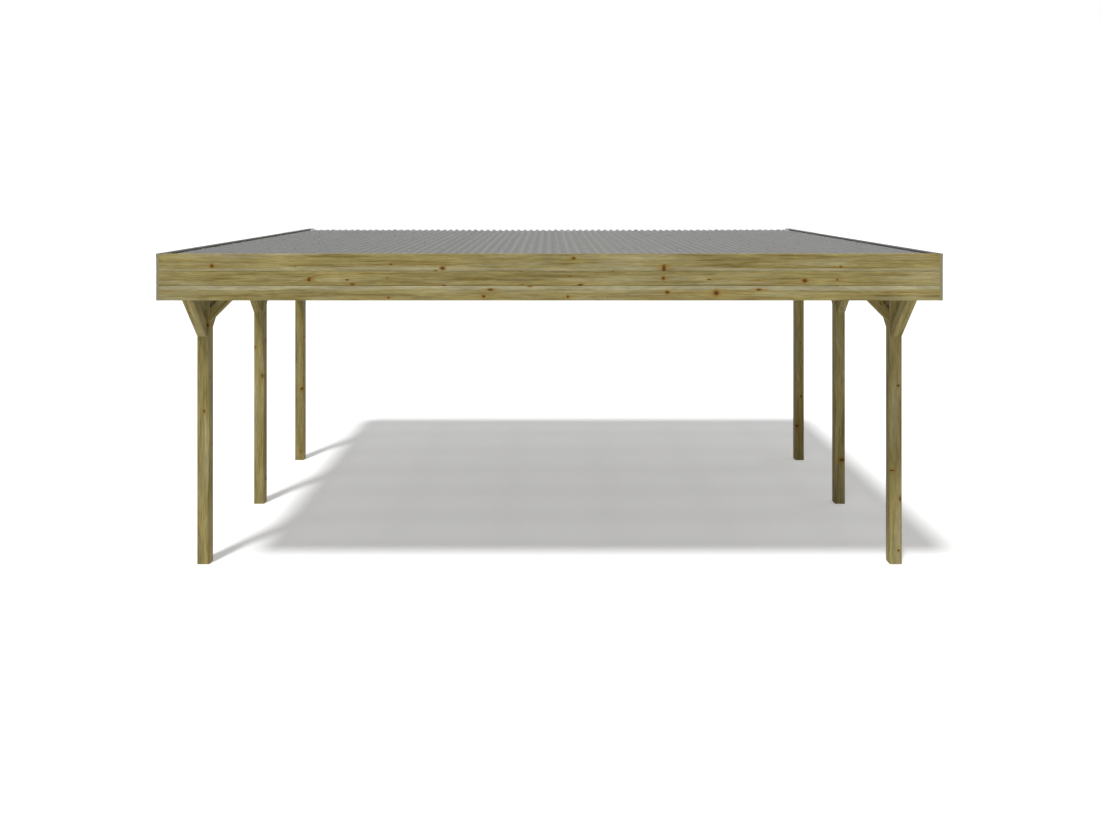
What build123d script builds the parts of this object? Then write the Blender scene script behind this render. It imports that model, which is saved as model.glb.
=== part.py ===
from build123d import *
from itertools import pairwise
from math import cos, floor, radians, sin, tan
import os

# A timber double carport with a level roof, in millimetres.
# X runs across the carport, the front faces -Y, and Z is up from the ground.
# The origin is on the ground, in the middle of the roof's outline.

# Posts
POST_SIZE = 100
POST_HEIGHT = 2338
POST_EASE = 5
POST_SPAN = 5750        # across the carport, centre to centre
POST_SPACING = 1550     # along one side, centre to centre
POST_ROWS = 3
FRONT_OVERHANG = 790    # from the front fascia's face to the centre of the front posts
REAR_OVERHANG = 740     # from the centre of the rear posts to the rear fascia's face

# Side beams, on the posts
BEAM_WIDTH = 100
BEAM_HEIGHT = 120
BEAM_EASE = 4

# Rafters, on the side beams
RAFTER_WIDTH = 60
RAFTER_HEIGHT = 140
RAFTER_EASE = 3

# Braces, cut level on top and upright at the post: the side ones are flush with the posts' outer faces
BRACE_ANGLE = 45
BRACE_REACH = 447       # from the underside that a brace carries down to its foot
BRACE_EASE = 4
SIDE_BRACE_DEPTH = 95
SIDE_BRACE_WIDTH = 80
CROSS_BRACE_DEPTH = 80
CROSS_BRACE_WIDTH = 60

# Battens, packed out between a side beam and the side fascia
BATTEN_THICK = 16.7

# Fascias, each of tongue-and-groove boards
FASCIA_UPSTAND = 29     # above the rafters
FASCIA_FIT = 0.3        # behind and at the ends of a fascia
BOARD_THICK = 23
BOARD_COVER = 111       # face height of a board below the top one
TOP_BOARD = 131         # the top board keeps its full height
LOWER_BOARDS = 2
BOARD_EASE = 4          # the V at each joint is two of these
TONGUE_THICK = 6
TONGUE_DEPTH = 8
TONGUE_FIT = 0.3

# Corrugated roof sheets
SHEET_PITCH = 76
SHEET_DEPTH = 18        # over both faces
SHEET_THICK = 1.2
SHEET_WAVES = 14
LAP_WAVES = 1
LAP_FIT = 0.1           # between the faces of two lapped sheets
FLANK_ANGLE = 34
SHEET_FRONT_FIT = 2     # behind the front fascia
SHEET_OVERHANG = 40     # past the rear fascia

# Verge trims, folded from sheet metal
TRIM_THICK = 1.5
TRIM_BEND = 2           # inside radius of a fold
TRIM_DROP = 30          # down the face of the side fascia
TRIM_COVER = 30         # over the roof sheets
TRIM_LIP = 8

# Levels, up from the ground
beam_top = POST_HEIGHT + BEAM_HEIGHT
rafter_top = beam_top + RAFTER_HEIGHT
fascia_top = rafter_top + FASCIA_UPSTAND
top_board_base = fascia_top - TOP_BOARD
fascia_base = top_board_base - LOWER_BOARDS * BOARD_COVER

# Places along the carport
timber_length = FRONT_OVERHANG + (POST_ROWS - 1) * POST_SPACING + REAR_OVERHANG
roof_length = timber_length + SHEET_OVERHANG
front = -roof_length / 2
rear_fascia_face = front + timber_length
frame_front = front + BOARD_THICK + FASCIA_FIT
frame_rear = rear_fascia_face - BOARD_THICK - FASCIA_FIT
frame_middle = (frame_front + frame_rear) / 2
post_lines = [front + FRONT_OVERHANG + row * POST_SPACING for row in range(POST_ROWS)]

# Places across the carport
beam_outside = (POST_SPAN + BEAM_WIDTH) / 2
frame_side = beam_outside + BATTEN_THICK
fascia_inside = frame_side + FASCIA_FIT
fascia_outside = fascia_inside + BOARD_THICK

SIDES = {"left": -1, "right": 1}
ROWS = ["front", "middle", "rear"]


def timber(length, width, height, ease):
    """A planed timber along X, on its underside, with its four long edges eased."""
    bar = Box(length, width, height, align=(Align.CENTER, Align.CENTER, Align.MIN))
    return chamfer(bar.edges().filter_by(Axis.X), ease)


def post():
    """A square post, on the ground."""
    bar = Box(POST_SIZE, POST_SIZE, POST_HEIGHT, align=(Align.CENTER, Align.CENTER, Align.MIN))
    return chamfer(bar.edges().filter_by(Axis.Z), POST_EASE)


def brace(foot, away, head, depth, width):
    """A brace from a post's face up to the underside at the height of its head.

    The foot is the point on the post's face, at ground level, that the brace stands over,
    and away is the direction in which it leans out from the post.
    """
    slope = radians(BRACE_ANGLE)
    run = BRACE_REACH / tan(slope)
    outline = Polygon(
        (0, head - BRACE_REACH),
        (run, head),
        (run - depth / sin(slope), head),
        (0, head - BRACE_REACH + depth / cos(slope)),
        align=None,
    )
    body = extrude(outline, width / 2, both=True)
    body = chamfer(body.edges().filter_by(Axis((0, 0, 0), (cos(slope), sin(slope), 0))), BRACE_EASE)
    return Plane(foot, x_dir=away, z_dir=Vector(*away).cross(Vector(0, 0, 1))) * body


def board(run, base, top, grooved, tongued):
    """One fascia board along X, with its face at Y = 0 towards -Y."""
    middle = BOARD_THICK / 2
    section = Pos(middle, (base + top) / 2) * Rectangle(BOARD_THICK, top - base)
    face_corners = section.vertices().group_by(Axis.X)[0]
    section = chamfer(face_corners, BOARD_EASE)
    if grooved:
        groove = Rectangle(TONGUE_THICK + 2 * TONGUE_FIT, TONGUE_DEPTH, align=(Align.CENTER, Align.MIN))
        section -= Pos(middle, base) * groove
    if tongued:
        tongue = Rectangle(TONGUE_THICK, TONGUE_DEPTH, align=(Align.CENTER, Align.MIN))
        section += Pos(middle, top) * tongue
    return extrude(Plane.YZ * section, run / 2, both=True)


def fascia(run, top):
    """Tongue-and-groove boards along X up to a given top, with their face at Y = 0."""
    boards = []
    for number in range(LOWER_BOARDS):
        base = fascia_base + number * BOARD_COVER
        boards.append(board(run, base, base + BOARD_COVER - TONGUE_FIT, number > 0, True))
    boards.append(board(run, top_board_base, top, True, False))
    return Compound(children=boards)


# Roof sheet section: round valleys and crests joined by straight flanks
sheet_rise = SHEET_DEPTH - SHEET_THICK
flank = radians(FLANK_ANGLE)
bend_radius = (SHEET_PITCH / 2 * tan(flank) - sheet_rise) / (2 / cos(flank) - 2)
lap_lift = (SHEET_THICK + LAP_FIT) / cos(flank)


def sheet_face(first, last, shift):
    """Edges of one face of a sheet, between two valleys, above or below its middle line."""
    bends = []
    for step in range(2 * first, 2 * last + 1):
        x = step * SHEET_PITCH / 2
        before = 0 if step == 2 * first else FLANK_ANGLE
        after = 0 if step == 2 * last else FLANK_ANGLE
        if step % 2 == 0:
            bends.append(CenterArc((x, bend_radius), bend_radius - shift, 270 - before, before + after))
        else:
            crest = sheet_rise - bend_radius
            bends.append(CenterArc((x, crest), bend_radius + shift, 90 + before, -before - after))
    flanks = [Line(one @ 1, other @ 0) for one, other in pairwise(bends)]
    return bends, flanks


def roof_sheet(first, last):
    """A corrugated sheet from one valley to another, counted in waves, running along Y."""
    upper_bends, upper_flanks = sheet_face(first, last, SHEET_THICK / 2)
    lower_bends, lower_flanks = sheet_face(first, last, -SHEET_THICK / 2)
    ends = [
        Line(upper_bends[0] @ 0, lower_bends[0] @ 0),
        Line(upper_bends[-1] @ 1, lower_bends[-1] @ 1),
    ]
    section = make_face([*upper_bends, *upper_flanks, *lower_bends, *lower_flanks, *ends])
    length = roof_length - BOARD_THICK - SHEET_FRONT_FIT
    return extrude(Plane.XZ * section, length, dir=(0, 1, 0))


def verge_trim():
    """A folded trim for the right-hand verge, running along Y from the front.

    Its inner lip is notched where it passes over the front fascia.
    """
    inner = fascia_inside - TRIM_COVER
    fold = FilletPolyline(
        (fascia_outside, fascia_top - TRIM_DROP),
        (fascia_outside, fascia_top),
        (inner, fascia_top),
        (inner, fascia_top - TRIM_LIP),
        radius=TRIM_BEND,
    )
    section = make_face(offset(fold, TRIM_THICK, side=Side.RIGHT))
    trim = extrude(Plane.XZ * section, roof_length, dir=(0, 1, 0))
    lip_width = TRIM_THICK + TRIM_BEND
    notch = Box(
        2 * lip_width,
        BOARD_THICK + FASCIA_FIT,
        TRIM_LIP + lip_width,
        align=(Align.CENTER, Align.MIN, Align.MAX),
    )
    return trim - Pos(inner, 0, fascia_top) * notch


parts = {}

for side, sign in SIDES.items():
    post_x = sign * POST_SPAN / 2
    side_brace_x = post_x + sign * (POST_SIZE - SIDE_BRACE_WIDTH) / 2
    for row, y in zip(ROWS, post_lines):
        name = f"{side}_{row}"
        parts[f"{name}_post"] = Pos(post_x, y) * post()
        for way, away in {"forward": -1, "rearward": 1}.items():
            parts[f"{name}_brace_{way}"] = brace(
                (side_brace_x, y + away * POST_SIZE / 2, 0),
                (0, away, 0),
                POST_HEIGHT,
                SIDE_BRACE_DEPTH,
                SIDE_BRACE_WIDTH,
            )
        parts[f"{name}_brace_inward"] = brace(
            (post_x - sign * POST_SIZE / 2, y, 0),
            (-sign, 0, 0),
            beam_top,
            CROSS_BRACE_DEPTH,
            CROSS_BRACE_WIDTH,
        )

    beam = timber(frame_rear - frame_front, BEAM_WIDTH, BEAM_HEIGHT, BEAM_EASE)
    parts[f"{side}_beam"] = Pos(post_x, frame_middle, POST_HEIGHT) * Rot(Z=90) * beam

    batten = Box(
        BATTEN_THICK,
        frame_rear - frame_front,
        BEAM_HEIGHT,
        align=(Align.CENTER, Align.CENTER, Align.MIN),
    )
    batten_x = sign * (beam_outside + BATTEN_THICK / 2)
    parts[f"{side}_batten"] = Pos(batten_x, frame_middle, POST_HEIGHT) * batten

# Rafters: one over each post, one halfway between, and one behind each end fascia
halfway = [(one + other) / 2 for one, other in pairwise(post_lines)]
rafter_lines = sorted(
    [frame_front + RAFTER_WIDTH / 2, frame_rear - RAFTER_WIDTH / 2, *post_lines, *halfway]
)
for number, y in enumerate(rafter_lines, start=1):
    rafter = timber(2 * frame_side, RAFTER_WIDTH, RAFTER_HEIGHT, RAFTER_EASE)
    parts[f"rafter_{number}"] = Pos(0, y, beam_top) * rafter

# The end fascias stand between the side fascias, and the rear one lets the sheets pass over it
side_middle = (front + rear_fascia_face) / 2
parts["front_fascia"] = Pos(0, front) * fascia(2 * frame_side, fascia_top)
parts["rear_fascia"] = Pos(0, rear_fascia_face) * Rot(Z=180) * fascia(2 * frame_side, rafter_top)
for side, sign in SIDES.items():
    side_fascia = fascia(timber_length, fascia_top)
    parts[f"{side}_fascia"] = Pos(sign * fascia_outside, side_middle) * Rot(Z=sign * 90) * side_fascia

# Roof sheets from left to right: every second sheet laps over both its neighbours
roof_waves = floor(2 * fascia_inside / SHEET_PITCH)
sheet_front = frame_front + SHEET_FRONT_FIT
first_wave = 0
number = 1
while first_wave + LAP_WAVES < roof_waves:
    last_wave = min(first_wave + SHEET_WAVES, roof_waves)
    level = rafter_top + SHEET_THICK / 2 + (number + 1) % 2 * lap_lift
    sheet = roof_sheet(first_wave, last_wave)
    parts[f"roof_sheet_{number}"] = Pos(-roof_waves * SHEET_PITCH / 2, sheet_front, level) * sheet
    first_wave = last_wave - LAP_WAVES
    number += 1

right_trim = Pos(0, front) * verge_trim()
parts["right_verge_trim"] = right_trim
parts["left_verge_trim"] = mirror(right_trim, about=Plane.YZ)

os.makedirs("parts", exist_ok=True)
for name, shape in parts.items():
    export_step(shape, f"parts/{name}.step")
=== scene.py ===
import math
import random

import bpy
from mathutils import Euler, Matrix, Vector


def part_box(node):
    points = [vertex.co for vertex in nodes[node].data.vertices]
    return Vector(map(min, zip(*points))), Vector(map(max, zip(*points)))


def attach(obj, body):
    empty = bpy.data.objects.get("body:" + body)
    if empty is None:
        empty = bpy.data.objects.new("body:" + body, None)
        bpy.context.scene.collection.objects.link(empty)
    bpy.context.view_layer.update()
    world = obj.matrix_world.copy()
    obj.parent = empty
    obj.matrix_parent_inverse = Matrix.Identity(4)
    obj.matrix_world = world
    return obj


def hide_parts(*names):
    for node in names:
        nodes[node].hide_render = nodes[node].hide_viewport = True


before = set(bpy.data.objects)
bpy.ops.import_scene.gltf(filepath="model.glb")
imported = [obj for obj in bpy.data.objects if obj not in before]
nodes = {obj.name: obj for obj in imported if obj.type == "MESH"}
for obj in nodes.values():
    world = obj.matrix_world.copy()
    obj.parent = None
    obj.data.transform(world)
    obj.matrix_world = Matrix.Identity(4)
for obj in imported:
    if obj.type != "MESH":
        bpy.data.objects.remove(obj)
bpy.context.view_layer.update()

bl_info = {
    "name": "Timber Carport",
    "version": (1, 0, 0),
    "blender": (4, 5, 0),
    "location": "View3D > Sidebar > Carport",
    "description": "Finishes a timber carport: pine, roof sheets, trims, fixings and a studio",
    "category": "Object",
}

MM = 0.001
BODY = "root"

# The carport's own measures, read from the frame
front_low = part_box("front_fascia")[0]
rear_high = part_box("rear_fascia")[1]
left_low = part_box("left_fascia")[0]
right_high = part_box("right_fascia")[1]
beam_low, beam_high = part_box("right_beam")
sheet_names = sorted(name for name in nodes if name.startswith("roof_sheet_"))
sheet_boxes = [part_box(name) for name in sheet_names]
rafter_names = sorted(name for name in nodes if name.startswith("rafter_"))
rafter_boxes = [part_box(name) for name in rafter_names]
rafter_lines = [(low.y + high.y) / 2 for low, high in rafter_boxes]

# Fascia boards, from the underside up: two lower boards of one height and a taller top one
BOARD_COVER = 111 * MM
board_joints = [front_low.z + BOARD_COVER, front_low.z + 2 * BOARD_COVER]


def linear(code):
    """An sRGB hex colour as the linear colour that shaders take."""
    channels = [int(code[place:place + 2], 16) / 255 for place in (1, 3, 5)]
    return tuple(c / 12.92 if c <= 0.04045 else ((c + 0.055) / 1.055) ** 2.4 for c in channels)


def opaque(colour):
    """A linear colour with full alpha."""
    return (*colour, 1.0)


def add(tree, kind, inputs=None, **settings):
    """Adds a node with its settings, and sets or links its inputs by name or number."""
    node = tree.nodes.new(kind)
    for key, value in settings.items():
        setattr(node, key, value)
    for key, value in (inputs or {}).items():
        if isinstance(value, bpy.types.NodeSocket):
            tree.links.new(value, node.inputs[key])
        else:
            node.inputs[key].default_value = value
    return node


def stretch_to(*sizes):
    """The factors that give a pattern's marks these sizes along X, Y and Z, in mm."""
    return tuple(1 / (size * MM) for size in sizes)


def new_material(name):
    """An empty node material and its tree."""
    material = bpy.data.materials.new(name)
    material.use_nodes = True
    material.node_tree.nodes.clear()
    return material, material.node_tree


def dress(name, material):
    """Gives a CAD node's object its finish."""
    piece = nodes[name]
    if not piece.material_slots:
        piece.data.materials.append(material)
    piece.material_slots[0].material = material


# Treated pine: sawn and planed softwood, pressure treated, so its pale yellow wood is tinted
# green-brown. The eye reads long soft streaks, dark late wood, small brown knots with an orange
# rim and a tail along the grain, paler sapwood in places, and greyer end grain. Along the fascia
# joints a pale band is painted highlight, drawn ragged like sapwood.

RING_WIDTH = 4.5 * MM
KNOT_SPACING = 340 * MM     # along the trunk
KNOTS_ROUND = 0.8           # radius of one round of knots, in knot spacings
KNOT_MOST = 15 * MM
KNOT_BIAS = 1.6             # power of each knot's chance: over 1, most knots are small
NO_KNOT_UNDER = 0.3         # of the chance, once it is weighed so
KNOT_WIDTHS = {"knot": 0.62, "tail": 0.17}      # over the mark's length along the grain
KNOT_SWELL = 1.5 * RING_WIDTH
GRAIN_WANDER = 11 * MM      # to either side
WANDER_MARKS = (770, 200, 200)      # mm along the grain and across it
RING_DRIFT = (0.7, 22.0, 22.0)      # waves a metre along the grain and across it
PIECE_SHIFT = (17.3, 5.1, 9.7)      # from one piece's place in the pattern to the next one's

# Length along the grain and width of each kind of mark, in mm, with the detail of its noise
GRAIN_MARKS = {
    "streak": (520, 17, 4.0),
    "tone": (800, 50, 3.0),
    "patch": (520, 95, 2.0),
    "fleck": (95, 8, 3.0),
    "fibre": (110, 1.6, 2.0),
}


def pine_grain():
    """The wood itself, as a node group on grain coordinates in metres, made once for all pieces.

    X runs along the grain, and the pith is the line where Y and Z are nought.
    """
    if "treated_pine_grain" in bpy.data.node_groups:
        return bpy.data.node_groups["treated_pine_grain"]
    pine = bpy.context.scene.carport_pine
    group = bpy.data.node_groups.new("treated_pine_grain", "ShaderNodeTree")
    sockets = {
        "INPUT": {"Grain": "Vector", "Piece": "Float", "Sapwood And Highlight": "Float", "End Grain": "Float"},
        "OUTPUT": {"Colour": "Color", "Roughness": "Float", "Height": "Float"},
    }
    for way, kinds in sockets.items():
        for label, kind in kinds.items():
            group.interface.new_socket(label, in_out=way, socket_type=f"NodeSocket{kind}")
    given = add(group, "NodeGroupInput").outputs

    # Grain that wanders a little along the piece, with each piece elsewhere in the pattern
    own_shift = add(group, "ShaderNodeVectorMath", {
        0: given["Piece"], 1: PIECE_SHIFT,
    }, operation="MULTIPLY").outputs[0]
    wander_place = add(group, "ShaderNodeVectorMath", {
        0: given["Grain"], 1: stretch_to(*WANDER_MARKS), 2: own_shift,
    }, operation="MULTIPLY_ADD").outputs[0]
    wander = add(group, "ShaderNodeTexNoise", {"Vector": wander_place, "Scale": 1.0, "Detail": 2.0})
    sideways = add(group, "ShaderNodeVectorMath", {
        0: wander.outputs["Color"],
        1: (0.0, 2 * GRAIN_WANDER, 2 * GRAIN_WANDER),
        2: (0.0, -GRAIN_WANDER, -GRAIN_WANDER),
    }, operation="MULTIPLY_ADD").outputs[0]
    trunk = add(group, "ShaderNodeVectorMath", {0: given["Grain"], 1: sideways}, operation="ADD").outputs[0]
    bent = add(group, "ShaderNodeVectorMath", {0: trunk, 1: own_shift}, operation="ADD").outputs[0]
    across = add(group, "ShaderNodeVectorMath", {
        0: trunk, 1: (0.0, 1.0, 1.0),
    }, operation="MULTIPLY").outputs[0]
    pith_reach = add(group, "ShaderNodeVectorMath", {0: across}, operation="LENGTH").outputs["Value"]

    # Knots: rods that run out from the pith, in the cells of a pattern wrapped round the trunk
    outward = add(group, "ShaderNodeVectorMath", {0: across}, operation="NORMALIZE").outputs[0]
    round_place = add(group, "ShaderNodeVectorMath", {
        0: outward, 1: (0.0, KNOTS_ROUND, KNOTS_ROUND), 2: own_shift,
    }, operation="MULTIPLY_ADD").outputs[0]
    knot_place = add(group, "ShaderNodeVectorMath", {
        0: trunk, 1: (1 / KNOT_SPACING, 0.0, 0.0), 2: round_place,
    }, operation="MULTIPLY_ADD").outputs[0]
    cells = add(group, "ShaderNodeTexVoronoi", {"Vector": knot_place, "Scale": 1.0, "Randomness": 1.0})
    from_knot = add(group, "ShaderNodeVectorMath", {
        0: knot_place, 1: cells.outputs["Position"],
    }, operation="SUBTRACT").outputs[0]
    sidelong = add(group, "ShaderNodeVectorMath", {
        0: (1.0, 0.0, 0.0), 1: outward,
    }, operation="CROSS_PRODUCT").outputs[0]
    round_share = add(group, "ShaderNodeVectorMath", {0: from_knot, 1: sidelong}, operation="DOT_PRODUCT")
    round_offset = add(group, "ShaderNodeMath", {
        0: round_share.outputs["Value"], 1: pith_reach,
    }, operation="MULTIPLY").outputs[0]
    along_offset = add(group, "ShaderNodeSeparateXYZ", {0: from_knot}).outputs[0]
    offset = add(group, "ShaderNodeCombineXYZ", {0: along_offset, 1: round_offset}).outputs[0]
    reaches = {}
    for mark, width in KNOT_WIDTHS.items():
        shaped = add(group, "ShaderNodeVectorMath", {
            0: offset, 1: (width * KNOT_SPACING, 1 / KNOTS_ROUND, 0.0),
        }, operation="MULTIPLY").outputs[0]
        reaches[mark] = add(group, "ShaderNodeVectorMath", {0: shaped}, operation="LENGTH").outputs["Value"]
    chance = add(group, "ShaderNodeSeparateXYZ", {0: cells.outputs["Color"]}).outputs
    size_bias = add(group, "ShaderNodeMath", {0: chance[0], 1: KNOT_BIAS}, operation="POWER").outputs[0]
    knot_size = add(group, "ShaderNodeMapRange", {
        "Value": size_bias, "From Min": NO_KNOT_UNDER, "To Max": KNOT_MOST,
    }).outputs[0]

    # Each mark fades from one multiple of the knot's size to another
    fades = {"knot": ("knot", 1.0, 0.55), "rim": ("knot", 1.9, 0.9), "tail": ("tail", 1.7, 0.5)}
    marks = {}
    for mark, (reach, outer, inner) in fades.items():
        ends = [
            add(group, "ShaderNodeMath", {0: knot_size, 1: share}, operation="MULTIPLY").outputs[0]
            for share in (outer, inner)
        ]
        marks[mark] = add(group, "ShaderNodeMapRange", {
            "Value": reaches[reach], "From Min": ends[0], "From Max": ends[1],
        }, interpolation_type="SMOOTHSTEP").outputs[0]

    # Growth rings round the pith, swelling where they pass a knot
    swell = add(group, "ShaderNodeMath", {
        0: marks["rim"], 1: -KNOT_SWELL, 2: pith_reach,
    }, operation="MULTIPLY_ADD").outputs[0]
    uneven_place = add(group, "ShaderNodeVectorMath", {
        0: bent, 1: RING_DRIFT,
    }, operation="MULTIPLY").outputs[0]
    uneven = add(group, "ShaderNodeTexNoise", {"Vector": uneven_place, "Scale": 1.0, "Detail": 3.0})
    years = add(group, "ShaderNodeMath", {
        0: swell, 1: 1 / RING_WIDTH, 2: uneven.outputs["Fac"],
    }, operation="MULTIPLY_ADD").outputs[0]
    season = add(group, "ShaderNodeMath", {0: years}, operation="FRACT").outputs[0]
    late_wood = add(group, "ShaderNodeMapRange", {
        "Value": season, "From Min": 0.35, "From Max": 0.95,
    }, interpolation_type="SMOOTHSTEP").outputs[0]

    # Streaks, broad tone, patches, flecks and fine fibres, all drawn out along the grain
    drawn = {}
    for mark, (length, width, detail) in GRAIN_MARKS.items():
        stretched = add(group, "ShaderNodeVectorMath", {
            0: bent, 1: stretch_to(length, width, width),
        }, operation="MULTIPLY").outputs[0]
        drawn[mark] = add(group, "ShaderNodeTexNoise", {
            "Vector": stretched, "Scale": 1.0, "Detail": detail, "Roughness": 0.62,
        }).outputs["Fac"]

    # Colour, from the paler early wood to the knots
    late_share = add(group, "ShaderNodeMath", {0: late_wood, 1: 0.5}, operation="MULTIPLY").outputs[0]
    rings = add(group, "ShaderNodeMix", {
        0: late_share, 6: opaque(pine.early), 7: opaque(pine.late),
    }, data_type="RGBA").outputs[2]
    dark_share = add(group, "ShaderNodeMapRange", {
        "Value": drawn["streak"], "From Min": 0.47, "From Max": 0.68, "To Min": 0.0, "To Max": 0.85,
    }).outputs[0]
    streaked = add(group, "ShaderNodeMix", {
        0: dark_share, 6: rings, 7: opaque(pine.streak),
    }, data_type="RGBA").outputs[2]
    pale_share = add(group, "ShaderNodeMapRange", {
        "Value": drawn["tone"], "From Min": 0.47, "From Max": 0.68, "To Min": 0.0, "To Max": 0.65,
    }).outputs[0]
    # Pale sapwood tone at random, plus the painted highlight along the fascia joints that comes in as an
    # input
    sapwood_and_highlight_share = add(group, "ShaderNodeMath", {
        0: pale_share, 1: given["Sapwood And Highlight"],
    }, operation="ADD", use_clamp=True)
    toned = add(group, "ShaderNodeMix", {
        0: sapwood_and_highlight_share.outputs[0], 6: streaked, 7: opaque(pine.sapwood_and_highlight),
    }, data_type="RGBA").outputs[2]
    depth = add(group, "ShaderNodeMapRange", {
        "Value": drawn["patch"], "From Min": 0.3, "From Max": 0.7, "To Min": 0.8, "To Max": 1.14,
    }).outputs[0]
    fleck_depth = add(group, "ShaderNodeMapRange", {
        "Value": drawn["fleck"], "From Min": 0.3, "From Max": 0.7, "To Min": 0.78, "To Max": 1.2,
    }).outputs[0]
    shade = add(group, "ShaderNodeMath", {0: depth, 1: fleck_depth}, operation="MULTIPLY").outputs[0]
    patched = add(group, "ShaderNodeMix", {
        0: 1.0, 6: toned, 7: shade,
    }, data_type="RGBA", blend_type="MULTIPLY").outputs[2]
    tail_share = add(group, "ShaderNodeMath", {
        0: marks["tail"], 1: chance[1],
    }, operation="MULTIPLY").outputs[0]
    faint_tail = add(group, "ShaderNodeMath", {0: tail_share, 1: 0.6}, operation="MULTIPLY").outputs[0]
    tailed = add(group, "ShaderNodeMix", {
        0: faint_tail, 6: patched, 7: opaque(pine.rim),
    }, data_type="RGBA").outputs[2]
    rim_share = add(group, "ShaderNodeMath", {0: marks["rim"], 1: 0.75}, operation="MULTIPLY").outputs[0]
    rimmed = add(group, "ShaderNodeMix", {
        0: rim_share, 6: tailed, 7: opaque(pine.rim),
    }, data_type="RGBA").outputs[2]
    knotted = add(group, "ShaderNodeMix", {
        0: marks["knot"], 6: rimmed, 7: opaque(pine.knot),
    }, data_type="RGBA").outputs[2]

    # End grain shows the rings alone, greyer than the faces
    end_rings = add(group, "ShaderNodeMix", {
        0: late_wood, 6: opaque(pine.end_early), 7: opaque(pine.end_late),
    }, data_type="RGBA").outputs[2]
    colour = add(group, "ShaderNodeMix", {
        0: given["End Grain"], 6: knotted, 7: end_rings,
    }, data_type="RGBA").outputs[2]

    # Planed softwood is dull, and stands up along its late wood
    roughness = add(group, "ShaderNodeMapRange", {
        "Value": drawn["fibre"], "To Min": 0.6, "To Max": 0.85,
    }).outputs[0]
    ridges = add(group, "ShaderNodeMath", {
        0: late_wood, 1: 0.35, 2: drawn["fibre"],
    }, operation="MULTIPLY_ADD").outputs[0]
    height = add(group, "ShaderNodeMath", {
        0: marks["knot"], 1: -0.5, 2: ridges,
    }, operation="MULTIPLY_ADD").outputs[0]
    add(group, "NodeGroupOutput", {"Colour": colour, "Roughness": roughness, "Height": height})
    return group


def pine_surface(tree, grain, along, piece_number, sapwood_and_highlight):
    """Shades a pine piece from its grain coordinates and the direction of its grain."""
    face = add(tree, "ShaderNodeNewGeometry").outputs["True Normal"]
    endwise = add(tree, "ShaderNodeVectorMath", {
        0: face, 1: Vector(along).normalized(),
    }, operation="DOT_PRODUCT").outputs["Value"]
    end_share = add(tree, "ShaderNodeMath", {0: endwise, 1: endwise}, operation="MULTIPLY").outputs[0]
    end_grain = add(tree, "ShaderNodeMapRange", {
        "Value": end_share, "From Min": 0.3, "From Max": 0.45,
    }).outputs[0]
    wood = add(tree, "ShaderNodeGroup", {
        "Grain": grain, "Piece": piece_number, "Sapwood And Highlight": sapwood_and_highlight, "End Grain": end_grain,
    }, node_tree=pine_grain())
    relief = add(tree, "ShaderNodeBump", {
        "Strength": 0.5, "Distance": 0.6 * MM, "Height": wood.outputs["Height"],
    })
    surface = add(tree, "ShaderNodeBsdfPrincipled", {
        "Base Color": wood.outputs["Colour"],
        "Roughness": wood.outputs["Roughness"],
        "IOR": 1.45,
        "Specular IOR Level": 0.3,
        "Normal": relief.outputs[0],
    })
    add(tree, "ShaderNodeOutputMaterial", {"Surface": surface.outputs[0]})


def grain_turn(along):
    """The turn that lays a direction along X, as the Euler angles that a Mapping node takes."""
    return Vector(along).normalized().rotation_difference(Vector((1, 0, 0))).to_euler()


# How far off a timber's middle its pith may lie, in mm: one way, and square to that
PITH_ACROSS = (-45, 45)
PITH_BESIDE = (25, 60)


def pine_timber(name, along, number, draw):
    """Treated pine for one timber, with the pith near its middle or just outside it."""
    material, tree = new_material(f"treated_pine_{name}")
    low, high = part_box(name)
    turn = grain_turn(along)
    centre = turn.to_matrix() @ ((low + high) / 2)
    pith = Vector((0, draw.uniform(*PITH_ACROSS) * MM, draw.uniform(*PITH_BESIDE) * MM))
    place = add(tree, "ShaderNodeTexCoord").outputs["Object"]
    grain = add(tree, "ShaderNodeMapping", {
        "Vector": place, "Location": pith - centre, "Rotation": turn,
    }).outputs[0]
    pine_surface(tree, grain, along, float(number), 0.0)
    return material


BOARD_PITH_DEPTH = 45 * MM      # behind the middle of the boards
BOARD_SHIFT = 3.7               # from one board to the next, in pieces of the pattern
# Pale bands along the fascia joints: a painted highlight, drawn ragged like sapwood
JOINT_HIGHLIGHT_BAND = 30 * MM
JOINT_HIGHLIGHT_RAGGED = 30 * MM        # up or down
JOINT_HIGHLIGHT_MARKS = (910, 910, 333)     # mm along X, Y and Z


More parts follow.
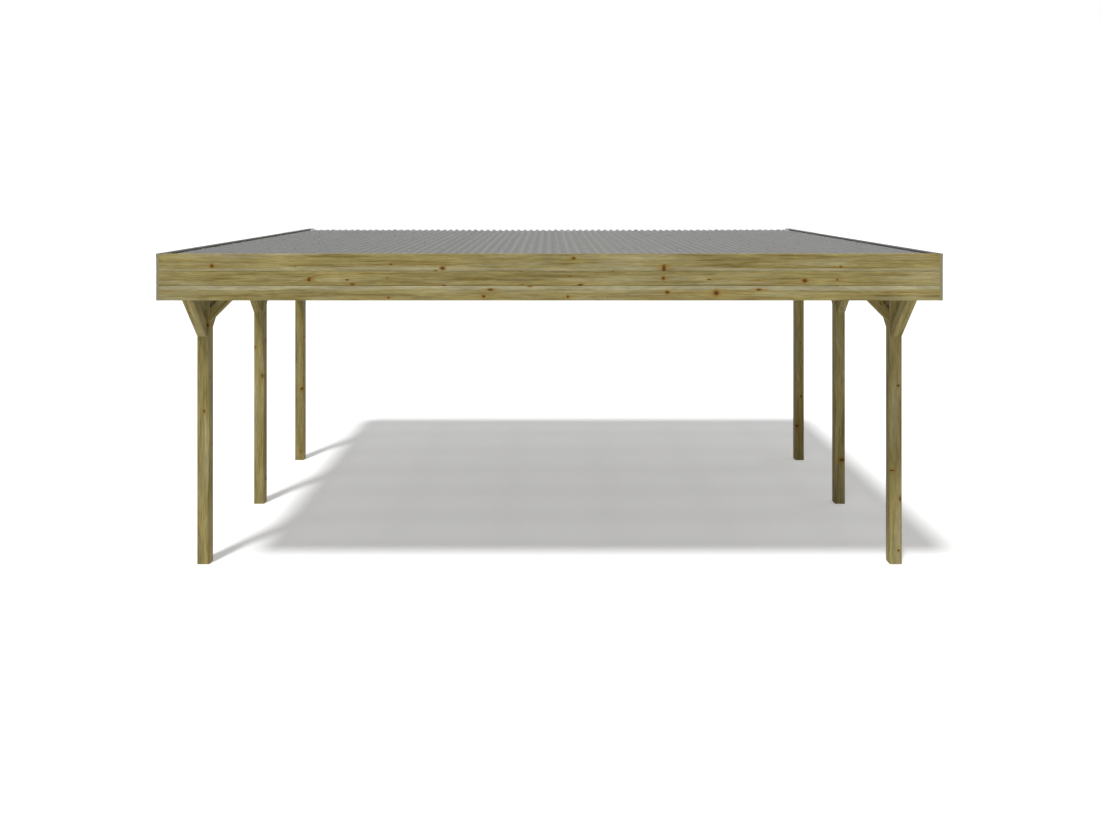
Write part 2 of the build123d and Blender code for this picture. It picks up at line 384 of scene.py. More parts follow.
def pine_boards(name, along, outward, number):
    """Treated pine for a fascia: each of its boards is cut from another tree.

    The boards are told apart by height. A pale band is painted along the lower edge of the top board
    and the upper edge of the bottom one: a painted highlight of the lit joints, ragged like sapwood.
    """
    material, tree = new_material(f"treated_pine_{name}")
    low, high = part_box(name)
    place = add(tree, "ShaderNodeTexCoord").outputs["Object"]
    height = add(tree, "ShaderNodeSeparateXYZ", {0: place}).outputs[2]
    above = [
        add(tree, "ShaderNodeMath", {0: height, 1: joint}, operation="GREATER_THAN").outputs[0]
        for joint in board_joints
    ]
    board = add(tree, "ShaderNodeMath", {0: above[0], 1: above[1]}, operation="ADD").outputs[0]
    lift = add(tree, "ShaderNodeMath", {0: board, 1: -BOARD_COVER}, operation="MULTIPLY").outputs[0]
    shift = add(tree, "ShaderNodeCombineXYZ", {2: lift}).outputs[0]
    lowered = add(tree, "ShaderNodeVectorMath", {0: place, 1: shift}, operation="ADD").outputs[0]
    turn = grain_turn(along)
    pith = (low + high) / 2 - Vector(outward) * BOARD_PITH_DEPTH
    pith.z = low.z + BOARD_COVER / 2
    grain = add(tree, "ShaderNodeMapping", {
        "Vector": lowered, "Location": -(turn.to_matrix() @ pith), "Rotation": turn,
    }).outputs[0]
    piece = add(tree, "ShaderNodeMath", {
        0: board, 1: BOARD_SHIFT, 2: float(number),
    }, operation="MULTIPLY_ADD").outputs[0]

    # Painted highlight over the upper joint and under the lower one, ragged like sapwood and fading in and
    # out along the boards
    drift_place = add(tree, "ShaderNodeVectorMath", {
        0: place, 1: stretch_to(*JOINT_HIGHLIGHT_MARKS),
    }, operation="MULTIPLY").outputs[0]
    drift = add(tree, "ShaderNodeTexNoise", {
        "Vector": drift_place, "Scale": 1.0, "Detail": 3.0,
    }).outputs["Fac"]
    ragged = add(tree, "ShaderNodeMath", {
        0: drift, 1: 2 * JOINT_HIGHLIGHT_RAGGED, 2: -JOINT_HIGHLIGHT_RAGGED,
    }, operation="MULTIPLY_ADD").outputs[0]
    wavy = add(tree, "ShaderNodeMath", {0: height, 1: ragged}, operation="ADD").outputs[0]
    full_band = 0.7 * JOINT_HIGHLIGHT_BAND
    over = add(tree, "ShaderNodeMapRange", {
        "Value": wavy,
        "From Min": board_joints[1] + JOINT_HIGHLIGHT_BAND, "From Max": board_joints[1] + full_band,
        "To Min": 0.0, "To Max": 0.75,
    }).outputs[0]
    over_only = add(tree, "ShaderNodeMath", {0: over, 1: above[1]}, operation="MULTIPLY").outputs[0]
    under = add(tree, "ShaderNodeMapRange", {
        "Value": wavy,
        "From Min": board_joints[0] - JOINT_HIGHLIGHT_BAND, "From Max": board_joints[0] - full_band,
    }).outputs[0]
    not_above = add(tree, "ShaderNodeMath", {0: 1.0, 1: above[0]}, operation="SUBTRACT").outputs[0]
    under_only = add(tree, "ShaderNodeMath", {0: under, 1: not_above}, operation="MULTIPLY").outputs[0]
    joint_highlight_bands = add(tree, "ShaderNodeMath", {0: over_only, 1: under_only}, operation="ADD").outputs[0]
    come_and_go = add(tree, "ShaderNodeMapRange", {
        "Value": drift, "From Min": 0.35, "From Max": 0.6, "To Min": 0.65, "To Max": 1.0,
    }).outputs[0]
    sapwood_and_highlight = add(tree, "ShaderNodeMath", {0: joint_highlight_bands, 1: come_and_go}, operation="MULTIPLY").outputs[0]
    pine_surface(tree, grain, along, piece, sapwood_and_highlight)
    return material


DUST_CLOUDS = (111, 909, 111)       # mm along X, Y and Z
SHEET_RIPPLE = 300 * MM


def sheet_plastic(sheets):
    """Extruded PVC sheet, tinted smoke grey through and through.

    It is smooth and slightly waxy, and lets some light through. Dust lies on it in long clouds, and
    it is darker in its hollows and a little lighter on its crests.
    """
    material, tree = new_material("extruded_pvc_sheet")
    place = add(tree, "ShaderNodeTexCoord").outputs["Object"]
    stretch = add(tree, "ShaderNodeVectorMath", {
        0: place, 1: stretch_to(*DUST_CLOUDS),
    }, operation="MULTIPLY").outputs[0]
    cloud = add(tree, "ShaderNodeTexNoise", {"Vector": stretch, "Scale": 1.0, "Detail": 4.0}).outputs["Fac"]
    dust = add(tree, "ShaderNodeMapRange", {
        "Value": cloud, "From Min": 0.4, "From Max": 0.75, "To Min": 0.0, "To Max": 0.6,
    }).outputs[0]
    dusty = add(tree, "ShaderNodeMix", {
        0: dust, 6: opaque(sheets.sheet), 7: opaque(sheets.dust),
    }, data_type="RGBA").outputs[2]
    # Darker towards the valleys and a little lighter on the crests, by height alone
    height = add(tree, "ShaderNodeSeparateXYZ", {0: place}).outputs[2]
    bottom, top = (corner.z for corner in sheet_boxes[0])
    valley_crest_tone = add(tree, "ShaderNodeMapRange", {
        "Value": height, "From Min": bottom, "From Max": top, "To Min": 0.84, "To Max": 1.06,
    }).outputs[0]
    colour = add(tree, "ShaderNodeMix", {
        0: 1.0, 6: dusty, 7: valley_crest_tone,
    }, data_type="RGBA", blend_type="MULTIPLY").outputs[2]
    roughness = add(tree, "ShaderNodeMapRange", {"Value": cloud, "To Min": 0.45, "To Max": 0.6}).outputs[0]
    ripple = add(tree, "ShaderNodeTexNoise", {"Vector": place, "Scale": 1 / SHEET_RIPPLE}).outputs["Fac"]
    relief = add(tree, "ShaderNodeBump", {"Strength": 0.5, "Distance": 1.0 * MM, "Height": ripple})
    surface = add(tree, "ShaderNodeBsdfPrincipled", {
        "Base Color": colour,
        "Roughness": roughness,
        "IOR": 1.53,
        "Specular IOR Level": 0.25,
        "Alpha": sheets.density,
        "Normal": relief.outputs[0],
    })
    add(tree, "ShaderNodeOutputMaterial", {"Surface": surface.outputs[0]})
    return material


# Sizes of the marks on the steel and on the caps
CHALK_PATCH = 143 * MM
SCREW_CLOUD = 1.1 * MM
CAP_MOTTLE = 6.25 * MM


def coated_steel(trims):
    """Folded steel strip with a dark polyester coat: even and satin, a little chalky in patches."""
    material, tree = new_material("coated_steel")
    place = add(tree, "ShaderNodeTexCoord").outputs["Object"]
    chalk = add(tree, "ShaderNodeTexNoise", {
        "Vector": place, "Scale": 1 / CHALK_PATCH, "Detail": 5.0,
    }).outputs["Fac"]
    colour = add(tree, "ShaderNodeMix", {
        0: chalk, 6: opaque(trims.coat), 7: opaque(trims.coat_chalky),
    }, data_type="RGBA").outputs[2]
    roughness = add(tree, "ShaderNodeMapRange", {"Value": chalk, "To Min": 0.6, "To Max": 0.8}).outputs[0]
    surface = add(tree, "ShaderNodeBsdfPrincipled", {
        "Base Color": colour, "Roughness": roughness, "Specular IOR Level": 0.05,
    })
    add(tree, "ShaderNodeOutputMaterial", {"Surface": surface.outputs[0]})
    return material


def screw_steel(fixings):
    """Cold-headed stainless steel screws: dull bright, with a fine cloudiness."""
    material, tree = new_material("stainless_steel")
    place = add(tree, "ShaderNodeTexCoord").outputs["Object"]
    cloud = add(tree, "ShaderNodeTexNoise", {
        "Vector": place, "Scale": 1 / SCREW_CLOUD, "Detail": 2.0,
    }).outputs["Fac"]
    roughness = add(tree, "ShaderNodeMapRange", {"Value": cloud, "To Min": 0.3, "To Max": 0.5}).outputs[0]
    surface = add(tree, "ShaderNodeBsdfPrincipled", {
        "Base Color": opaque(fixings.screw), "Metallic": 1.0, "Roughness": roughness,
    })
    add(tree, "ShaderNodeOutputMaterial", {"Surface": surface.outputs[0]})
    return material


def cap_plastic(fixings):
    """Moulded polyethylene cap over a sheet screw: soft, matt and the grey of the sheets."""
    material, tree = new_material("moulded_polyethylene")
    place = add(tree, "ShaderNodeTexCoord").outputs["Object"]
    mottle = add(tree, "ShaderNodeTexNoise", {
        "Vector": place, "Scale": 1 / CAP_MOTTLE, "Detail": 3.0,
    }).outputs["Fac"]
    colour = add(tree, "ShaderNodeMix", {
        0: mottle, 6: opaque(fixings.cap), 7: opaque(fixings.cap_worn),
    }, data_type="RGBA").outputs[2]
    surface = add(tree, "ShaderNodeBsdfPrincipled", {"Base Color": colour, "Roughness": 0.6, "IOR": 1.51})
    add(tree, "ShaderNodeOutputMaterial", {"Surface": surface.outputs[0]})
    return material


def new_tree(name, inputs):
    """A geometry tree with named inputs and one geometry output."""
    tree = bpy.data.node_groups.new(name, "GeometryNodeTree")
    tree.interface.new_socket("Geometry", in_out="OUTPUT", socket_type="NodeSocketGeometry")
    tree.interface.new_socket("Geometry", in_out="INPUT", socket_type="NodeSocketGeometry")
    for label, kind in inputs.items():
        tree.interface.new_socket(label, in_out="INPUT", socket_type=f"NodeSocket{kind}")
    return tree, add(tree, "NodeGroupInput").outputs


def grow(name, tree, values, places=()):
    """A plain mesh object grown by a geometry tree from its named inputs and a set of places."""
    seed = bpy.data.meshes.new(f"{name}_places")
    seed.from_pydata(places, [], [])
    carrier = bpy.data.objects.new(f"{name}_places", seed)
    bpy.context.scene.collection.objects.link(carrier)
    modifier = carrier.modifiers.new("Grow", "NODES")
    modifier.node_group = tree
    for item in tree.interface.items_tree:
        if item.in_out == "INPUT" and item.name in values:
            modifier[item.identifier] = values[item.name]
    evaluated = carrier.evaluated_get(bpy.context.evaluated_depsgraph_get())
    mesh = bpy.data.meshes.new_from_object(evaluated)
    carrier.modifiers.remove(modifier)
    bpy.data.objects.remove(carrier)
    if not mesh.polygons:
        raise RuntimeError(f"Nothing grew for {name}")
    mesh.name = name
    piece = bpy.data.objects.new(name, mesh)
    bpy.context.scene.collection.objects.link(piece)
    return piece


SHEET_ROWS = 13             # of points along a sheet
SMOOTH_BEND = 50            # degrees, past which a sheet's edge is shaded sharp


def sheet_tree():
    """A corrugated sheet: round valleys and crests of one radius, joined by straight flanks."""
    tree, given = new_tree("corrugated_sheet", {
        "Waves": "Int", "Steps": "Int", "Pitch": "Float", "Rise": "Float", "Bend Radius": "Float",
        "Flank Slope": "Float", "Thickness": "Float", "Length": "Float", "Place": "Vector",
        "Finish": "Material",
    })
    width = add(tree, "ShaderNodeMath", {
        0: given["Waves"], 1: given["Pitch"],
    }, operation="MULTIPLY").outputs[0]
    columns = add(tree, "ShaderNodeMath", {
        0: given["Waves"], 1: given["Steps"], 2: 1.0,
    }, operation="MULTIPLY_ADD")
    grid = add(tree, "GeometryNodeMeshGrid", {
        "Size X": width, "Size Y": given["Length"],
        "Vertices X": columns.outputs[0], "Vertices Y": SHEET_ROWS,
    }).outputs[0]
    place = add(tree, "GeometryNodeInputPosition").outputs[0]
    x = add(tree, "ShaderNodeSeparateXYZ", {0: place}).outputs[0]
    from_edge = add(tree, "ShaderNodeMath", {0: width, 1: 0.5, 2: x}, operation="MULTIPLY_ADD").outputs[0]
    half_pitch = add(tree, "ShaderNodeMath", {0: given["Pitch"], 1: 0.5}, operation="MULTIPLY").outputs[0]
    from_valley = add(tree, "ShaderNodeMath", {
        0: from_edge, 1: half_pitch,
    }, operation="PINGPONG").outputs[0]
    from_crest = add(tree, "ShaderNodeMath", {
        0: half_pitch, 1: from_valley,
    }, operation="SUBTRACT").outputs[0]
    from_bend = add(tree, "ShaderNodeMath", {0: from_valley, 1: from_crest}, operation="MINIMUM").outputs[0]
    near_crest = add(tree, "ShaderNodeMath", {
        0: from_valley, 1: from_crest,
    }, operation="GREATER_THAN").outputs[0]

    # Height over the valley bottom within a bend, and along the flank past the bend's end
    angle = add(tree, "ShaderNodeMath", {0: given["Flank Slope"]}, operation="ARCTANGENT").outputs[0]
    sine = add(tree, "ShaderNodeMath", {0: angle}, operation="SINE").outputs[0]
    bend_end = add(tree, "ShaderNodeMath", {
        0: given["Bend Radius"], 1: sine,
    }, operation="MULTIPLY").outputs[0]
    in_bend = add(tree, "ShaderNodeMath", {0: from_bend, 1: bend_end}, operation="MINIMUM").outputs[0]
    past_bend = add(tree, "ShaderNodeMath", {0: from_bend, 1: in_bend}, operation="SUBTRACT").outputs[0]
    in_bend_share = add(tree, "ShaderNodeMath", {
        0: in_bend, 1: given["Bend Radius"],
    }, operation="DIVIDE").outputs[0]
    tilt = add(tree, "ShaderNodeMath", {0: in_bend_share}, operation="ARCSINE").outputs[0]
    level = add(tree, "ShaderNodeMath", {0: tilt}, operation="COSINE").outputs[0]
    drop = add(tree, "ShaderNodeMath", {0: 1.0, 1: level}, operation="SUBTRACT").outputs[0]
    bend_rise = add(tree, "ShaderNodeMath", {
        0: drop, 1: given["Bend Radius"],
    }, operation="MULTIPLY").outputs[0]
    climb = add(tree, "ShaderNodeMath", {
        0: past_bend, 1: given["Flank Slope"], 2: bend_rise,
    }, operation="MULTIPLY_ADD").outputs[0]
    from_top = add(tree, "ShaderNodeMath", {0: given["Rise"], 1: climb}, operation="SUBTRACT").outputs[0]
    height = add(tree, "ShaderNodeMix", {
        0: near_crest, 2: climb, 3: from_top,
    }, data_type="FLOAT").outputs[0]

    # The upright through the sheet leans out of each valley, one way and then the other
    whole = add(tree, "ShaderNodeMath", {0: from_edge, 1: half_pitch}, operation="DIVIDE").outputs[0]
    half_wave = add(tree, "ShaderNodeMath", {0: whole}, operation="FLOOR").outputs[0]
    parity = add(tree, "ShaderNodeMath", {0: half_wave, 1: 2.0}, operation="MODULO").outputs[0]
    way = add(tree, "ShaderNodeMath", {0: parity, 1: 2.0, 2: -1.0}, operation="MULTIPLY_ADD").outputs[0]
    lean = add(tree, "ShaderNodeMath", {0: in_bend_share, 1: way}, operation="MULTIPLY").outputs[0]
    upright = add(tree, "ShaderNodeCombineXYZ", {0: lean, 2: level}).outputs[0]
    through = add(tree, "ShaderNodeVectorMath", {
        0: upright, "Scale": given["Thickness"],
    }, operation="SCALE").outputs[0]
    stored = add(tree, "GeometryNodeStoreNamedAttribute", {
        "Geometry": grid, "Name": "through", "Value": through,
    }, data_type="FLOAT_VECTOR", domain="POINT").outputs[0]
    half_down = add(tree, "ShaderNodeVectorMath", {0: through, "Scale": -0.5}, operation="SCALE").outputs[0]
    raised = add(tree, "ShaderNodeCombineXYZ", {2: height}).outputs[0]
    lower_shift = add(tree, "ShaderNodeVectorMath", {0: raised, 1: half_down}, operation="ADD").outputs[0]
    lower = add(tree, "GeometryNodeSetPosition", {"Geometry": stored, "Offset": lower_shift}).outputs[0]

    # The lower face, its copy lifted through the thickness, and the rim between them
    lifted = add(tree, "GeometryNodeExtrudeMesh", {"Mesh": lower, "Offset Scale": 0.0, "Individual": False})
    through_again = add(tree, "GeometryNodeInputNamedAttribute", {
        "Name": "through",
    }, data_type="FLOAT_VECTOR")
    upper = add(tree, "GeometryNodeSetPosition", {
        "Geometry": lifted.outputs["Mesh"], "Selection": lifted.outputs["Top"],
        "Offset": through_again.outputs[0],
    }).outputs[0]
    underside = add(tree, "GeometryNodeFlipFaces", {"Mesh": lower}).outputs[0]
    both = add(tree, "GeometryNodeJoinGeometry")
    tree.links.new(upper, both.inputs[0])
    tree.links.new(underside, both.inputs[0])
    closed = add(tree, "GeometryNodeMergeByDistance", {
        "Geometry": both.outputs[0], "Distance": 0.01 * MM,
    }).outputs[0]
    moved = add(tree, "GeometryNodeTransform", {
        "Geometry": closed, "Translation": given["Place"],
    }).outputs[0]
    bare = add(tree, "GeometryNodeRemoveAttribute", {"Geometry": moved, "Name": "through"}).outputs[0]
    real = add(tree, "GeometryNodeRealizeInstances", {"Geometry": bare}).outputs[0]
    finished = add(tree, "GeometryNodeSetMaterial", {
        "Geometry": real, "Material": given["Finish"],
    }).outputs[0]
    add(tree, "NodeGroupOutput", {"Geometry": finished})
    return tree


def fixing_tree():
    """A fixing head at each place: a round base with a tapered head on it."""
    tree, given = new_tree("fixing_heads", {
        "Base Sides": "Int", "Base Radius": "Float", "Base Height": "Float", "Head Radius": "Float",
        "Head Height": "Float", "Taper": "Float", "Facing": "Rotation", "Finish": "Material",
    })
    base = add(tree, "GeometryNodeMeshCone", {
        "Vertices": given["Base Sides"], "Radius Bottom": given["Base Radius"],
        "Radius Top": given["Base Radius"], "Depth": given["Base Height"],
    }).outputs[0]
    tip_radius = add(tree, "ShaderNodeMath", {
        0: given["Head Radius"], 1: given["Taper"],
    }, operation="MULTIPLY")
    head = add(tree, "GeometryNodeMeshCone", {
        "Vertices": given["Base Sides"], "Radius Bottom": given["Head Radius"],
        "Radius Top": tip_radius.outputs[0], "Depth": given["Head Height"],
    }).outputs[0]
    head_level = add(tree, "ShaderNodeCombineXYZ", {2: given["Base Height"]}).outputs[0]
    head_raised = add(tree, "GeometryNodeTransform", {
        "Geometry": head, "Translation": head_level,
    }).outputs[0]
    fixing = add(tree, "GeometryNodeJoinGeometry")
    tree.links.new(base, fixing.inputs[0])
    tree.links.new(head_raised, fixing.inputs[0])
    spread = add(tree, "GeometryNodeInstanceOnPoints", {
        "Points": given["Geometry"], "Instance": fixing.outputs[0], "Rotation": given["Facing"],
    }).outputs[0]
    real = add(tree, "GeometryNodeRealizeInstances", {"Geometry": spread}).outputs[0]
    finished = add(tree, "GeometryNodeSetMaterial", {
        "Geometry": real, "Material": given["Finish"],
    }).outputs[0]
    add(tree, "NodeGroupOutput", {"Geometry": finished})
    return tree


def colour_property(name, description, code):
    """A colour that a user may change, from its sRGB hex default."""
    return bpy.props.FloatVectorProperty(
        name=name, description=description, default=linear(code), subtype="COLOR", min=0, max=1)


class CarportPine(bpy.types.PropertyGroup):
    """Colours of the treated pine."""

    early: colour_property("Early wood", "Pale wood of a ring", "#9B8E59")
    late: colour_property("Late wood", "Dark wood of a ring", "#86763F")
    streak: colour_property("Streaks", "Long dark streaks", "#725F26")
    # Also the colour of the painted highlight along the fascia joints
    sapwood_and_highlight: colour_property("Sapwood And Highlight", "Pale outer wood", "#A79F7B")
    rim: colour_property("Knot rim", "Orange rim of a knot", "#8F6B28")
    knot: colour_property("Knot", "Dark heart of a knot", "#563C12")
    end_early: colour_property("End grain", "Pale rings where a timber is cut across", "#968F72")
    end_late: colour_property("End grain rings", "Dark rings where a timber is cut across", "#7D7456")


class CarportSheets(bpy.types.PropertyGroup):
    """The corrugated sheets."""

    pitch: bpy.props.FloatProperty(
        name="Pitch", description="From crest to crest", default=76 * MM, unit="LENGTH")
    flank: bpy.props.FloatProperty(
        name="Flank", description="Slope of the straight flanks", default=math.radians(34), subtype="ANGLE")
    thickness: bpy.props.FloatProperty(
        name="Thickness", description="Of the sheet", default=1.2 * MM, unit="LENGTH")
    steps: bpy.props.IntProperty(
        name="Steps", description="Faces across one wave", default=16, min=8)
    density: bpy.props.FloatProperty(
        name="Density", description="Share of the light that each face holds back",
        default=0.76, min=0, max=1, subtype="FACTOR")
    sheet: colour_property("Sheet", "Grey of the clean sheet", "#80807E")
    dust: colour_property("Dust", "Grey of the dusty sheet", "#8C8C88")


class CarportTrims(bpy.types.PropertyGroup):
    """The verge trims."""

    coat: colour_property("Coat", "Grey of the coat", "#676869")
    coat_chalky: colour_property("Chalky coat", "Where it has chalked", "#737475")


class CarportFixings(bpy.types.PropertyGroup):
    """The sheet fixings and the fascia screws."""

    cap_radius: bpy.props.FloatProperty(
        name="Cap radius", description="Of the cap on a sheet screw", default=10 * MM, unit="LENGTH")
    cap_height: bpy.props.FloatProperty(
        name="Cap height", description="Over its washer", default=4 * MM, unit="LENGTH")
    caps_each_sheet: bpy.props.IntProperty(
        name="Caps each sheet", description="Along each rafter", default=4, min=2)
    screw_radius: bpy.props.FloatProperty(
        name="Screw radius", description="Of a fascia screw's head", default=3.5 * MM, unit="LENGTH")
    cap: colour_property("Cap", "Grey of a cap", "#7A7A78")
    cap_worn: colour_property("Worn cap", "Where it has bleached", "#868683")
    screw: colour_property("Screw", "Grey of a fascia screw's head", "#8E8B84")


class CarportStudio(bpy.types.PropertyGroup):
    """Light, floor and camera."""

    sun: bpy.props.FloatProperty(
        name="Sun", description="Strength of the soft sun", default=2.7, min=0)
    sun_angle: bpy.props.FloatProperty(
        name="Sun softness", description="How wide the sun looks", default=math.radians(7), subtype="ANGLE")
    fill: bpy.props.FloatProperty(
        name="Fill", description="Strength of the low light from the right and behind", default=0.7, min=0)
    sky: bpy.props.FloatProperty(
        name="Sky", description="Strength of the even white light", default=0.28, min=0)
    eye_height: bpy.props.FloatProperty(
        name="Eye height", description="Camera over the ground", default=3.111, unit="LENGTH")
    stand_off: bpy.props.FloatProperty(
        name="Stand-off", description="Camera in front of the front fascia", default=7.31, unit="LENGTH")


BRACE_LEANS = {"forward": (0, -1, 1), "rearward": (0, 1, 1)}

# Each fascia's grain, the way that it faces and its number among the pieces of the pattern
FASCIAS = {
    "front_fascia": ((1, 0, 0), (0, -1, 0), 61),
    "rear_fascia": ((1, 0, 0), (0, 1, 0), 62),
    "left_fascia": ((0, 1, 0), (-1, 0, 0), 63),
    "right_fascia": ((0, 1, 0), (1, 0, 0), 64),
}
PITH_SEED = 11


def grain_direction(name):
    """The direction in which a timber's grain runs, from its name."""
    if name.endswith("_post"):
        return (0, 0, 1)
    if name.endswith(("_beam", "_batten")):
        return (0, 1, 0)
    if name.endswith("_brace_inward"):
        return (1 if name.startswith("left") else -1, 0, 1)
    if "_brace_" in name:
        return BRACE_LEANS[name.rsplit("_", 1)[1]]
    return (1, 0, 0)


class CARPORT_OT_timbers(bpy.types.Operator):
    """Finish the posts, beams, rafters, braces and battens in treated pine"""

    bl_idname = "carport.timbers"
    bl_label = "Timbers"

    def execute(self, context):
        draw = random.Random(PITH_SEED)
        endings = ("_post", "_beam", "_batten", "_forward", "_rearward", "_inward")
        timbers = [name for name in sorted(nodes) if name.endswith(endings) or name in rafter_names]
        for number, name in enumerate(timbers):
            dress(name, pine_timber(name, grain_direction(name), number, draw))
        return {"FINISHED"}


class CARPORT_OT_fascias(bpy.types.Operator):
    """Finish the fascia boards in treated pine"""

    bl_idname = "carport.fascias"
    bl_label = "Fascias"

    def execute(self, context):
        for name, (along, outward, number) in FASCIAS.items():
            dress(name, pine_boards(name, along, outward, number))
        return {"FINISHED"}


class CARPORT_OT_roof_sheets(bpy.types.Operator):
    """Make the corrugated roof sheets"""

    bl_idname = "carport.roof_sheets"
    bl_label = "Roof sheets"

    def execute(self, context):
        sheets = context.scene.carport_sheets
        finish = sheet_plastic(sheets)
        tree = sheet_tree()
        slope = math.tan(sheets.flank)
        # The rise that a flank with sharp corners loses to its two bends, over their radius
        bend_loss = 2 * (1 / math.cos(sheets.flank) - 1)
        for name, (low, high) in zip(sheet_names, sheet_boxes):
            rise = high.z - low.z - sheets.thickness
            piece = grow(f"{name}_corrugated", tree, {
                "Waves": round((high.x - low.x) / sheets.pitch),
                "Steps": sheets.steps,
                "Pitch": sheets.pitch,
                "Rise": rise,
                "Bend Radius": (sheets.pitch / 2 * slope - rise) / bend_loss,
                "Flank Slope": slope,
                "Thickness": sheets.thickness,
                "Length": high.y - low.y,
                "Place": ((low.x + high.x) / 2, (low.y + high.y) / 2, low.z + sheets.thickness / 2),
                "Finish": finish,
            })
            piece.data.shade_smooth()
            piece.data.set_sharp_from_angle(angle=math.radians(SMOOTH_BEND))
            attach(piece, BODY)
            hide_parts(name)
        return {"FINISHED"}


class CARPORT_OT_verge_trims(bpy.types.Operator):
    """Finish the folded verge trims"""

    bl_idname = "carport.verge_trims"
    bl_label = "Verge trims"

    def execute(self, context):
        coat = coated_steel(context.scene.carport_trims)
        dress("left_verge_trim", coat)
        dress("right_verge_trim", coat)
        return {"FINISHED"}


HEAD_SIDES = 12
WASHER_BED = 2 * MM         # how far a washer reaches down over its crest
WASHER_EDGE = 1 * MM        # over the crest


class CARPORT_OT_sheet_fixings(bpy.types.Operator):
    """Cap a screw on each lap and on some crests between, over every rafter"""

    bl_idname = "carport.sheet_fixings"
    bl_label = "Sheet fixings"

    def execute(self, context):
        fixings = context.scene.carport_fixings
        pitch = context.scene.carport_sheets.pitch
        sheet_pitch = sheet_boxes[1][0].x - sheet_boxes[0][0].x
        places = []
        for low, high in sheet_boxes:
            for share in range(fixings.caps_each_sheet):
                waves = round(share * sheet_pitch / pitch / fixings.caps_each_sheet)
                crest = low.x + (waves + 0.5) * pitch
                if crest > high.x:
                    continue
                top = max(above.z for below, above in sheet_boxes if below.x < crest < above.x)
                places += [(crest, line, top - WASHER_BED) for line in rafter_lines]
        piece = grow("roof_sheet_fixings", fixing_tree(), {
            "Base Sides": HEAD_SIDES,
            "Base Radius": fixings.cap_radius,
            "Base Height": WASHER_BED + WASHER_EDGE,
            "Head Radius": 0.9 * fixings.cap_radius,
            "Head Height": fixings.cap_height,
            "Taper": 0.6,
            "Facing": Euler((0, 0, 0)),
            "Finish": cap_plastic(fixings),
        }, places)
        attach(piece, BODY)
        return {"FINISHED"}


# Heights of the fascia screws: a row on each of the two lower boards, and two on the top one
screw_rows = [
    board_joints[0] - 25 * MM,
    board_joints[0] + 35 * MM,
    board_joints[1] + 35 * MM,
    rafter_boxes[0][1].z - 20 * MM,
]


class CARPORT_OT_fascia_screws(bpy.types.Operator):
    """Screw the fascia boards to the timbers behind them"""

    bl_idname = "carport.fascia_screws"
    bl_label = "Fascia screws"

    def execute(self, context):
        fixings = context.scene.carport_fixings
        steel = screw_steel(fixings)
        tree = fixing_tree()
        beam_half = (beam_high.x - beam_low.x) / 2
        beam_middle = (beam_high.x + beam_low.x) / 2
        beam_ends = [side * (beam_middle + inset * beam_half) for side in (-1, 1) for inset in (-0.5, 0.5)]
        end_places = [(x, z) for x in beam_ends for z in screw_rows]
        side_places = [(y, z) for y in rafter_lines for z in screw_rows]
        faces = {
            "front": (Euler((math.radians(90), 0, 0)), [(x, front_low.y, z) for x, z in end_places]),
            "rear": (Euler((math.radians(-90), 0, 0)), [(x, rear_high.y, z) for x, z in end_places]),
            "left": (Euler((0, math.radians(-90), 0)), [(left_low.x, y, z) for y, z in side_places]),
            "right": (Euler((0, math.radians(90), 0)), [(right_high.x, y, z) for y, z in side_places]),
        }
        for face, (facing, places) in faces.items():
            piece = grow(f"{face}_fascia_screws", tree, {
                "Base Sides": HEAD_SIDES,
                "Base Radius": fixings.screw_radius,
                "Base Height": 0.3 * MM,
                "Head Radius": 0.95 * fixings.screw_radius,
                "Head Height": 0.4 * MM,
                "Taper": 0.75,
                "Facing": facing,
                "Finish": steel,
            }, places)
            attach(piece, BODY)
        return {"FINISHED"}


# The photograph's view: level camera, horizon above the middle of the picture
PHOTO_WIDTH = 1100
PHOTO_HEIGHT = 825
FOCAL_PIXELS = 970
HORIZON_ROW = 189.5
CENTRE_COLUMN = 549.5
SENSOR_WIDTH = 36

# The ways in which the sun's light and the fill's travel, and how wide the fill looks in degrees
SUN_TRAVEL = (0.48, 1.10, -2.45)
FILL_TRAVEL = (-1.0, -0.45, -0.06)
FILL_WIDTH = 40

FLOOR_REACH = 60.0          # metres to each side
FLOOR_SHADE = 0.85          # share of the light that it gives back
FLOOR_GLOW = 0.3            # light of its own, for the eye alone


def seen_share(tree):
    """One where the eye looks, straight or by a reflection, and nought where light only bounces."""
    path = add(tree, "ShaderNodeLightPath").outputs
    seen = add(tree, "ShaderNodeMath", {
        0: path["Is Camera Ray"], 1: path["Is Glossy Ray"],
    }, operation="MAXIMUM").outputs[0]
    return add(tree, "ShaderNodeMath", {
        0: seen, 1: path["Is Transmission Ray"],
    }, operation="MAXIMUM").outputs[0]


def studio_floor():
    """A matt white floor that stays white to the eye and keeps the object's shadow."""
    material, tree = new_material("studio_floor")
    glow = add(tree, "ShaderNodeMath", {0: seen_share(tree), 1: FLOOR_GLOW}, operation="MULTIPLY").outputs[0]
    matt = add(tree, "ShaderNodeBsdfDiffuse", {"Color": opaque([FLOOR_SHADE] * 3)})
    lift = add(tree, "ShaderNodeEmission", {"Strength": glow})
    both = add(tree, "ShaderNodeAddShader", {0: matt.outputs[0], 1: lift.outputs[0]})
    add(tree, "ShaderNodeOutputMaterial", {"Surface": both.outputs[0]})
    return material


